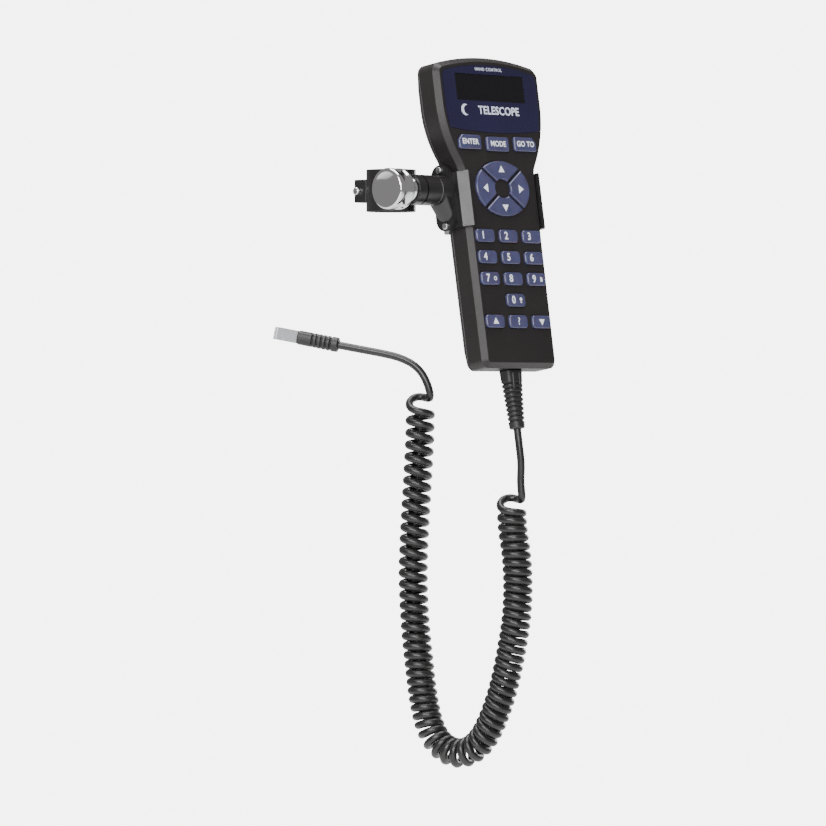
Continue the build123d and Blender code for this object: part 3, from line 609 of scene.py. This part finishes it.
def gathered_turns(steps, tangents):
    """Distance and turned angle at each point of the line, by the pitch along it."""
    total = sum(steps)
    along = [0.0]
    phase = [0.0]
    for i, step in enumerate(steps):
        first = max(0, i - BEND_REACH)
        last = min(len(tangents) - 1, i + BEND_REACH)
        span = sum(steps[first : i + BEND_REACH]) or 1
        bend = tangents[first].angle(tangents[last]) / span
        bent_pitch = BEND_PITCH / (1 - min(BEND_LIMIT, bend * COIL_CENTRE_RADIUS))
        pitch = max(base_pitch(along[-1] / total), bent_pitch)
        end_gap = min(along[-1], total - along[-1])
        pitch += END_PITCH * max(0.0, 1 - end_gap / END_PITCH_REACH)
        phase.append(phase[-1] + 2 * pi * step / pitch)
        along.append(along[-1] + step)
    return along, phase


def end_lift(distance, total, out):
    """How far along the coil a point is pushed, away from the middle, near either end."""
    end_gap = min(distance, total - distance)
    sign = -1 if distance < total / 2 else 1
    return sign * END_LIFT * exp(-((end_gap / END_REACH) ** 2)) * (0.5 + 0.5 * out.dot(OPEN_SIDE)) ** 2


def coil_points():
    """Centre points of the coiled stretch, turn by turn round the smooth route."""
    line = line_of(COIL_ROUTE, LINE_RESOLUTION)
    steps = step_lengths(line)
    total = sum(steps)
    tangents, normals = carried_frame(line)
    along, phase = gathered_turns(steps, tangents)
    # the turns are stretched a little, so that the last one ends on the tail's side
    side = tangents[-1].cross(normals[-1])
    end_phase = atan2(-TAIL_SIDE.dot(side), TAIL_SIDE.dot(normals[-1]))
    whole = round((phase[-1] - end_phase) / (2 * pi)) * 2 * pi + end_phase
    scale = whole / phase[-1]
    count = int(whole / (2 * pi) * TURN_POINTS)
    points = []
    at = 0
    for k in range(count + 1):
        wanted = whole * k / count
        while at < len(phase) - 2 and phase[at + 1] * scale < wanted:
            at += 1
        low, high = phase[at] * scale, phase[at + 1] * scale
        share = (wanted - low) / (high - low)
        centre = line[at].lerp(line[at + 1], share)
        normal = normals[at].lerp(normals[at + 1], share).normalized()
        side = tangents[at].cross(normal)
        out = normal * cos(wanted) - side * sin(wanted)
        distance = along[at] + (along[at + 1] - along[at]) * share
        lift = end_lift(distance, total, out)
        points.append(centre + out * COIL_CENTRE_RADIUS + tangents[at] * lift)
    return points[:1] + points[CORNER_ROOM:-CORNER_ROOM] + points[-1:]


def add_lead():
    """The whole lead as one round cord: straight end, coil and straight tail."""
    points = LEAD_ROUTE + [tuple(p) for p in coil_points()] + TAIL_ROUTE
    route = [tuple(c * MM for c in p) for p in points]
    data = nurbs_curve("curly_lead", route, LEAD_RESOLUTION)
    data.bevel_depth = CORD_RADIUS * MM
    data.bevel_resolution = 4
    data.use_fill_caps = True
    length = sum(step_lengths(line_of(route, LEAD_RESOLUTION)))
    lead = add_piece("curly_lead", data, finish_of(cable_sheath), "handset")
    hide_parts("cord_lead", "cord_coil", "cord_tail")
    return lead, route[0], length


# ---------------------------------------------------------------- strain reliefs

RING_POINTS = 40
BOOT_STEPS = 150
BOOT_INTO_TAIL = 0.1
BOOT_OVERLAP = 0.3  # how much longer the near boot is than its stand-in, both ends together
NEAR_BOOT = {"wide": 12.6, "thin": 8.6, "end_radius": 4.1, "grooves": 9, "first_groove": 6.0}
FAR_BOOT = {"wide": 12.6, "thin": 7.6, "end_radius": 4.0, "grooves": 5, "first_groove": 7.0}
FAR_BOOT_LENGTH = 22.0
FAR_BOOT_OVERLAP = 0.2
FAR_BOOT_ACROSS = Vector((0.83, 0.55, 0))
PLAIN_END = 3  # ungrooved end beside the cord
TAPER_POWER = 0.85
SQUARE_POWER = 3.4
ROUND_POWER = 2.0
GROOVE_DEPTH = 0.75
GROOVE_STEEPNESS = 6
GROOVE_HALF_WIDTH = 0.24
EDGE_ROUND = 0.7
# The two grip ridges: distance, half width, half depth and power of each ring
RIDGE_RINGS = [
    (0.2, 0.5, 0.4, ROUND_POWER),
    (0.8, 1.0, 0.8, ROUND_POWER),
    (2.0, 1.25, 1.0, ROUND_POWER),
    (8.5, 1.15, 0.95, ROUND_POWER),
    (9.8, 0.9, 0.7, ROUND_POWER),
    (10.4, 0.3, 0.25, ROUND_POWER),
]
RIDGE_SIDE = 2.4
RIDGE_FORWARD = 4.0
RIDGE_START = -0.6
RIDGE_SLANT = 0.06


def superellipse(half_width, half_depth, power):
    """Points round a rounded rectangle, as width and depth offsets."""
    points = []
    for k in range(RING_POINTS):
        angle = 2 * pi * k / RING_POINTS
        c, s = cos(angle), sin(angle)
        x = half_width * abs(c) ** (2 / power) * (1 if c >= 0 else -1)
        y = half_depth * abs(s) ** (2 / power) * (1 if s >= 0 else -1)
        points.append((x, y))
    return points


def lofted(name, origin, along, across, rings):
    """Closed mesh through rings of (distance, half width, half depth, power), in millimetres."""
    depth_axis = along.cross(across).normalized()
    loops = []
    for distance, half_width, half_depth, power in rings:
        loop = []
        for x, y in superellipse(half_width, half_depth, power):
            loop.append(origin + (along * distance + across * x + depth_axis * y) * MM)
        loops.append(loop)
    return mesh_from_rings(name, loops)


def boot_rings(length, wide, thin, end_radius, grooves, first_groove):
    """Rings of a tapered boot with rounded ends and a row of grooves towards the cord."""
    rings = []
    pitch = (length - first_groove - PLAIN_END) / grooves
    for k in range(BOOT_STEPS + 1):
        distance = length * k / BOOT_STEPS
        share = distance / length
        shape = share**TAPER_POWER
        half_width = wide / 2 * (1 - shape) + end_radius * shape
        half_depth = thin / 2 * (1 - shape) + end_radius * shape
        power = SQUARE_POWER * (1 - share) + ROUND_POWER * share
        cut = 0.0
        into_grooves = distance - first_groove
        if 0 < into_grooves < pitch * grooves:
            from_middle = abs((into_grooves / pitch) % 1.0 - 0.5)
            cut = GROOVE_DEPTH * max(0.0, min(1.0, GROOVE_STEEPNESS * (GROOVE_HALF_WIDTH - from_middle)))
        edge = min(distance, length - distance)
        cut += EDGE_ROUND * (1 - min(1.0, edge / EDGE_ROUND)) ** 2
        rings.append((distance, half_width - cut, half_depth - cut, power))
    return rings


def add_boots():
    """The near boot under the handset's tail and the far one before the plug."""
    rubber = finish_of(boot_rubber)
    start = place(0, JACK_DEPTH, BOOT_INTO_TAIL)
    rings = boot_rings(BOOT_LENGTH + BOOT_OVERLAP, **NEAR_BOOT)
    near = add_piece("near_boot", lofted("near_boot", start, -UP, RIGHT, rings), rubber, "handset")
    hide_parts("cord_boot")
    for name, side in (("boot_rib_left", -1), ("boot_rib_right", 1)):
        start = place(side * RIDGE_SIDE, JACK_DEPTH - RIDGE_FORWARD, RIDGE_START)
        ridge = lofted(name, start, -UP + INWARD * RIDGE_SLANT, RIGHT, RIDGE_RINGS)
        rib = add_piece(name, ridge, rubber, "handset")
        rib.modifiers.new("round", "SUBSURF").levels = 1
    end = Vector(TAIL_ROUTE[-1]) * MM
    way = (Vector(TAIL_ROUTE[-1]) - Vector(TAIL_ROUTE[-2])).normalized()
    across = (FAR_BOOT_ACROSS - way * FAR_BOOT_ACROSS.dot(way)).normalized()
    start = end + way * FAR_BOOT_LENGTH * MM
    rings = boot_rings(FAR_BOOT_LENGTH + FAR_BOOT_OVERLAP, **FAR_BOOT)
    mesh = lofted("far_boot_ribbed", start, -way, across, rings)
    far = add_piece("far_boot_ribbed", mesh, rubber, "handset")
    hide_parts("far_boot")
    return near, far


# ---------------------------------------------------------------- knob

LATHE_POINTS = 96
KNOB_RADIUS = 10.75
WAIST_RADIUS = 10.35
COLLAR_RADIUS = 6.35


def turned(name, profile, centre):
    """Closed mesh turned about a line along X, from (x, radius) points in millimetres."""
    loops = []
    for x, radius in profile:
        loop = []
        for k in range(LATHE_POINTS):
            angle = 2 * pi * k / LATHE_POINTS
            point = Vector((x, centre.y + radius * cos(angle), centre.z + radius * sin(angle)))
            loop.append(point * MM)
        loops.append(loop)
    return mesh_from_rings(name, loops)


def arc_profile(x, radius, size, start, end, steps):
    """Points of a rounded edge about (x, radius), from one angle to another in degrees."""
    points = []
    for k in range(steps + 1):
        angle = radians(start + (end - start) * k / steps)
        points.append((x + size * cos(angle), radius + size * sin(angle)))
    return points


def add_knob():
    """Plated clamp knob: dished flat end, rounded rims, a waist and a stepped neck."""
    dish = [(-23.5, 0.4), (-23.5, 8.0), (-23.8, 8.5)]
    outer_rim = arc_profile(-22.6, 9.45, 1.3, 170, 90, 8)
    waist = [(-20.4, KNOB_RADIUS), (-19.9, WAIST_RADIUS), (-16.1, WAIST_RADIUS), (-15.6, KNOB_RADIUS)]
    inner_rim = arc_profile(-13.9, 9.75, 1.0, 90, 0, 5)
    neck = [(-12.6, 8.0), (-12.2, 6.6), (-11.6, COLLAR_RADIUS), (-8.6, COLLAR_RADIUS)]
    collar = [(-8.3, 6.0), (-7.8, 6.0), (-7.5, 6.5), (-6.5, 6.5), (-6.2, 6.2), (-6.2, 3.1)]
    profile = dish + outer_rim + waist + inner_rim + neck + collar
    mesh = turned("chrome_knob", profile, Vector((0, TILT_Y, 0)))
    knob = add_piece("chrome_knob", mesh, finish_of(plated_chrome), "knob")
    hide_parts("knob")


# ---------------------------------------------------------------- legends

FACING = Matrix((RIGHT, UP, -INWARD)).transposed()
INK_RISE = 0.03
COLUMN_PITCH = 18.0
ROW_PITCH = 11.4
TOP_ROW = 70.0
ROWS = [
    ("1", "2", "3"),
    ("4", "5", "6"),
    ("7", "8", "9"),
    ("", "0", ""),
    ("scroll_up", "help", "scroll_down"),
]
DIGIT_SIZE = 5.6
DIGIT_SHIFT = -2.2
ICON_SHIFT = 3.4
WORD_SIZE = 4.1
FUNCTION_PITCH = 21.5
FUNCTION_ROW = 119.3
FUNCTION_RISE = 0.6  # the outer two sit a little higher
PANEL_LINE = 137.2
PANEL_TOP_LINE = 159.4
WINDOW_HEIGHT = 149.5
CELL_ROWS = 2
CELL_COLUMNS = 16
CELL_PITCH = 3.05
CELL_ROW_PITCH = 5.6
CELL_CORNERS = [(-1.2, -2.2), (1.2, -2.2), (1.2, 2.2), (-1.2, 2.2)]
CELL_DEPTH = -8.36
CELL_RISE = 0.05


def on_face(x, depth, height):
    """Matrix of a flat piece that lies on the handset's face and reads the right way up."""
    return Matrix.Translation(place(x, depth, height)) @ FACING.to_4x4()


def text_mesh(name, words, size, bold, spacing=1.0):
    """Mesh of a printed word, centred on its own middle, with the size in millimetres."""
    data = bpy.data.curves.new(name, "FONT")
    data.body = words
    data.size = size * MM
    data.align_x = "CENTER"
    data.align_y = "CENTER"
    data.extrude = INK_RISE * MM
    data.offset = bold * MM
    data.space_character = spacing
    data.resolution_u = 4
    return mesh_from_curve(name, data)


def flat_mesh(name, outlines):
    """Thin raised print from outlines in millimetres; each outline is a closed ring of points."""
    data = bpy.data.curves.new(name, "CURVE")
    data.dimensions = "2D"
    data.fill_mode = "BOTH"
    data.extrude = INK_RISE * MM
    for outline in outlines:
        spline = data.splines.new("POLY")
        spline.points.add(len(outline) - 1)
        for control, (x, y) in zip(spline.points, outline):
            control.co = (x * MM, y * MM, 0, 1)
        spline.use_cyclic_u = True
    return mesh_from_curve(name, data)


def circle(radius, centre=(0, 0), points=28):
    """Ring of points of a circle."""
    ring = []
    for k in range(points):
        angle = 2 * pi * k / points
        ring.append((centre[0] + radius * cos(angle), centre[1] + radius * sin(angle)))
    return ring


def crescent(outer, inner, shift, points=24):
    """Outline of a moon: an arc of one circle and back along an arc of a smaller one moved aside."""
    meet_x = (outer**2 - inner**2 + shift**2) / (2 * shift)
    meet_y = sqrt(outer**2 - meet_x**2)
    start = atan2(meet_y, meet_x)
    ring = []
    for k in range(points + 1):
        angle = start + (2 * pi - 2 * start) * k / points
        ring.append((outer * cos(angle), outer * sin(angle)))
    inner_start = atan2(meet_y, meet_x - shift)
    for k in range(1, points):
        angle = 2 * pi - inner_start - (2 * pi - 2 * inner_start) * k / points
        ring.append((shift + inner * cos(angle), inner * sin(angle)))
    return ring


def print_on(name, mesh, x, depth, height, body, material):
    """Put a printed mesh on the handset's face."""
    mesh.transform(on_face(x, depth, height))
    return add_piece(name, mesh, material, body)


def lamp_icon():
    """Small lamp: a round glow over a short base."""
    return [circle(0.95, (0, 0.5)), [(-0.5, -1.5), (0.5, -1.5), (0.5, -0.75), (-0.5, -0.75)]]


def page_icon():
    """Small card with a folded corner."""
    return [[(-0.8, -1.2), (0.8, -1.2), (0.8, 0.6), (0.2, 1.2), (-0.8, 1.2)]]


def ring_icon():
    """Small ring."""
    return [circle(1.15), circle(0.65)]


def add_key_legends():
    """Digits, words, arrows and icons, each riding on its own key."""
    ink = finish_of(white_ink)
    depth = KEY_TOP - INK_RISE
    icons = {"7": ring_icon, "9": page_icon, "0": lamp_icon}
    for row, names in enumerate(ROWS):
        for column, name in enumerate(names):
            if not name:
                continue
            x = (column - 1) * COLUMN_PITCH
            height = TOP_ROW - row * ROW_PITCH
            body = f"key_{name}"
            if name.isdigit():
                mesh = text_mesh(f"digit_{name}", name, DIGIT_SIZE, 0.12)
                print_on(f"digit_{name}", mesh, x + DIGIT_SHIFT, depth, height, body, ink)
                if name in icons:
                    mesh = flat_mesh(f"icon_{name}", icons[name]())
                    print_on(f"icon_{name}", mesh, x + ICON_SHIFT, depth, height, body, ink)
            elif name == "help":
                mesh = text_mesh("help_mark", "?", DIGIT_SIZE, 0.05)
                print_on("help_mark", mesh, x, depth, height, body, ink)
            else:
                way = 1 if name == "scroll_up" else -1
                outline = [(-2.1, -1.4 * way), (2.1, -1.4 * way), (0, 1.9 * way)]
                mesh = flat_mesh(f"{name}_mark", [outline])
                print_on(f"{name}_mark", mesh, x, depth, height, body, ink)
    words = ((-1, "ENTER", "key_enter"), (0, "MODE", "key_mode"), (1, "GO TO", "key_goto"))
    for side, word, body in words:
        mesh = text_mesh(f"word_{side + 1}", word, WORD_SIZE, 0.09, 1.03)
        height = FUNCTION_ROW + FUNCTION_RISE * abs(side)
        print_on(f"word_{side + 1}", mesh, side * FUNCTION_PITCH, depth, height, body, ink)
    arrows = {
        "up": ((0, 10.2), [(-2.3, -1.5), (2.3, -1.5), (0, 2.1)]),
        "down": ((0, -10.2), [(-2.3, 1.5), (2.3, 1.5), (0, -2.1)]),
        "left": ((-13.6, 0), [(1.5, -2.3), (1.5, 2.3), (-2.1, 0)]),
        "right": ((13.6, 0), [(-1.5, -2.3), (-1.5, 2.3), (2.1, 0)]),
    }
    for name, ((x, y), outline) in arrows.items():
        mesh = flat_mesh(f"arrow_{name}", [outline])
        print_on(f"arrow_{name}", mesh, x, depth, PAD_CENTRE + y, f"key_{name}", ink)


def add_panel_print():
    """Generic words and a moon on the face panel."""
    ink = finish_of(panel_ink)
    depth = PANEL_TOP - INK_RISE
    mesh = text_mesh("panel_small_words", "HAND CONTROL", 2.3, 0.03, 1.2)
    print_on("panel_small_words", mesh, 0, depth, PANEL_TOP_LINE, "handset", ink)
    mesh = text_mesh("panel_words", "TELESCOPE", 6.0, 0.16, 1.05)
    print_on("panel_words", mesh, 4.5, depth, PANEL_LINE, "handset", ink)
    mesh = flat_mesh("moon_mark", [crescent(3.1, 2.5, 1.35)])
    print_on("moon_mark", mesh, -21.5, depth, PANEL_LINE, "handset", ink)


def add_display_cells():
    """Two rows of sixteen faint character cells on the display glass."""
    builder = bmesh.new()
    for row in range(CELL_ROWS):
        for column in range(CELL_COLUMNS):
            x = (column - (CELL_COLUMNS - 1) / 2) * CELL_PITCH
            height = WINDOW_HEIGHT + (0.5 - row) * CELL_ROW_PITCH
            corners = []
            for dx, dy in CELL_CORNERS:
                corners.append(builder.verts.new(place(x + dx, CELL_DEPTH, height + dy)))
            face = builder.faces.new(corners)
            top = bmesh.ops.extrude_face_region(builder, geom=[face])
            moved = [v for v in top["geom"] if isinstance(v, bmesh.types.BMVert)]
            bmesh.ops.translate(builder, verts=moved, vec=-INWARD * CELL_RISE * MM)
    mesh = mesh_from_builder("display_cells", builder)
    add_piece("display_cells", mesh, finish_of(dark_ink), "handset")


# ---------------------------------------------------------------- everything

add_camera()
add_lights()
add_world()
add_floor()
lead, lead_exit, lead_length = add_lead()
near_boot, far_boot = add_boots()
dress_nodes()
add_key_legends()
add_panel_print()
add_display_cells()
add_knob()
